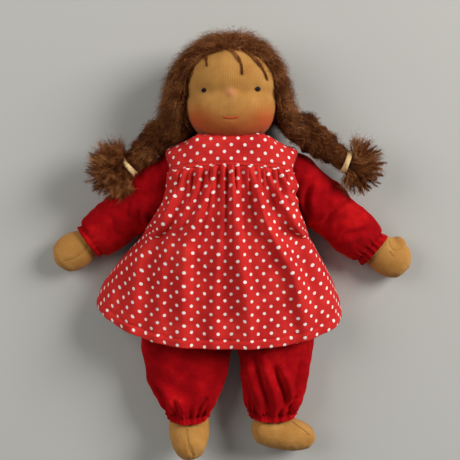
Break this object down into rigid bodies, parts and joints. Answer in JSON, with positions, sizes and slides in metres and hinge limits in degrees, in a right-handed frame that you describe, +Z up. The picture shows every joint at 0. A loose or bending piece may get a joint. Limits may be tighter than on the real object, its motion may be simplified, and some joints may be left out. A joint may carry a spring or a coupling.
{
  "type": "waldorf doll",
  "caption": "Soft doll with embroidered face, mohair braids, a red velour romper and a gathered red cotton dress with white dots, lying on its back.",
  "frame": {"origin": "on the flat back of the dress, on the midline, where the doll lies on its back", "axes": "+Y towards the crown, +X towards the doll's own left, +Z up out of the face"},
  "size_m": [0.3372, 0.401, 0.083],
  "materials": {
    "skin": "cotton jersey",
    "wool": "raw wool",
    "hair": "brushed mohair",
    "thread": "strong linen thread",
    "eye_thread": "embroidery cotton",
    "mouth_thread": "embroidery cotton",
    "elastic": "covered elastic",
    "velour": "cotton velour",
    "cotton": "dotted poplin",
    "button": "polished"
  },
  "bodies": {
    "torso": {"head_skin": "skin", "head_wool": "wool", "eye_line_thread": "thread", "nose_bead": "wool", "right_eye": "eye_thread", "left_eye": "eye_thread", "mouth_stitch": "mouth_thread", "neck_tie": "thread", "hair_cap": "hair", "fringe_right": "hair", "fringe_middle": "hair", "fringe_left": "hair", "torso": "skin", "romper_body": "velour", "dress_yoke_front": "cotton", "dress_yoke_back": "cotton", "skirt_front": "cotton", "skirt_back": "cotton", "nape_button": "button"},
    "hips": {"romper_seat": "velour", "hip_seam": "skin"},
    "right_leg": {"right_leg": "skin", "right_trouser": "velour", "right_ankle_elastic": "elastic"},
    "left_leg": {"left_leg": "skin", "left_trouser": "velour", "left_ankle_elastic": "elastic"},
    "right_arm": {"right_arm": "skin", "right_sleeve": "velour", "right_cuff_elastic": "elastic"},
    "left_arm": {"left_arm": "skin", "left_sleeve": "velour", "left_cuff_elastic": "elastic"},
    "right_braid": {"right_braid": "hair", "right_braid_elastic": "elastic", "right_tassel": "hair"},
    "left_braid": {"left_braid": "hair", "left_braid_elastic": "elastic", "left_tassel": "hair"}
  },
  "joints": [
    {"name": "sit_fold", "type": "hinge", "parent": "torso", "child": "hips", "pos_m": [0, -0.02, 0.061], "axis": [-1, 0, 0], "range_deg": [0, 90], "deforming": ["skirt_front", "skirt_back"]},
    {"name": "right_leg_spread", "type": "hinge", "parent": "hips", "child": "right_leg", "pos_m": [-0.067, -0.0452, 0.02], "axis": [0, 0, -1], "range_deg": [0, 12]},
    {"name": "left_leg_spread", "type": "hinge", "parent": "hips", "child": "left_leg", "pos_m": [0.067, -0.0452, 0.02], "axis": [0, 0, 1], "range_deg": [0, 12]},
    {"name": "right_arm_lift", "type": "hinge", "parent": "torso", "child": "right_arm", "pos_m": [-0.064, 0.044, 0.0495], "axis": [0, 1, 0], "range_deg": [0, 90]},
    {"name": "left_arm_lift", "type": "hinge", "parent": "torso", "child": "left_arm", "pos_m": [0.064, 0.047, 0.0495], "axis": [0, -1, 0], "range_deg": [0, 90]},
    {"name": "right_braid_lift", "type": "hinge", "parent": "torso", "child": "right_braid", "pos_m": [-0.064, 0.0925, 0.0495], "axis": [0, 1, 0], "range_deg": [0, 90]},
    {"name": "left_braid_lift", "type": "hinge", "parent": "torso", "child": "left_braid", "pos_m": [0.064, 0.0975, 0.0495], "axis": [0, -1, 0], "range_deg": [0, 90]}
  ],
  "couplings": [
    {"joint": "right_braid_lift", "follows": "right_arm_lift", "ratio": 1},
    {"joint": "left_braid_lift", "follows": "left_arm_lift", "ratio": 1}
  ]
}
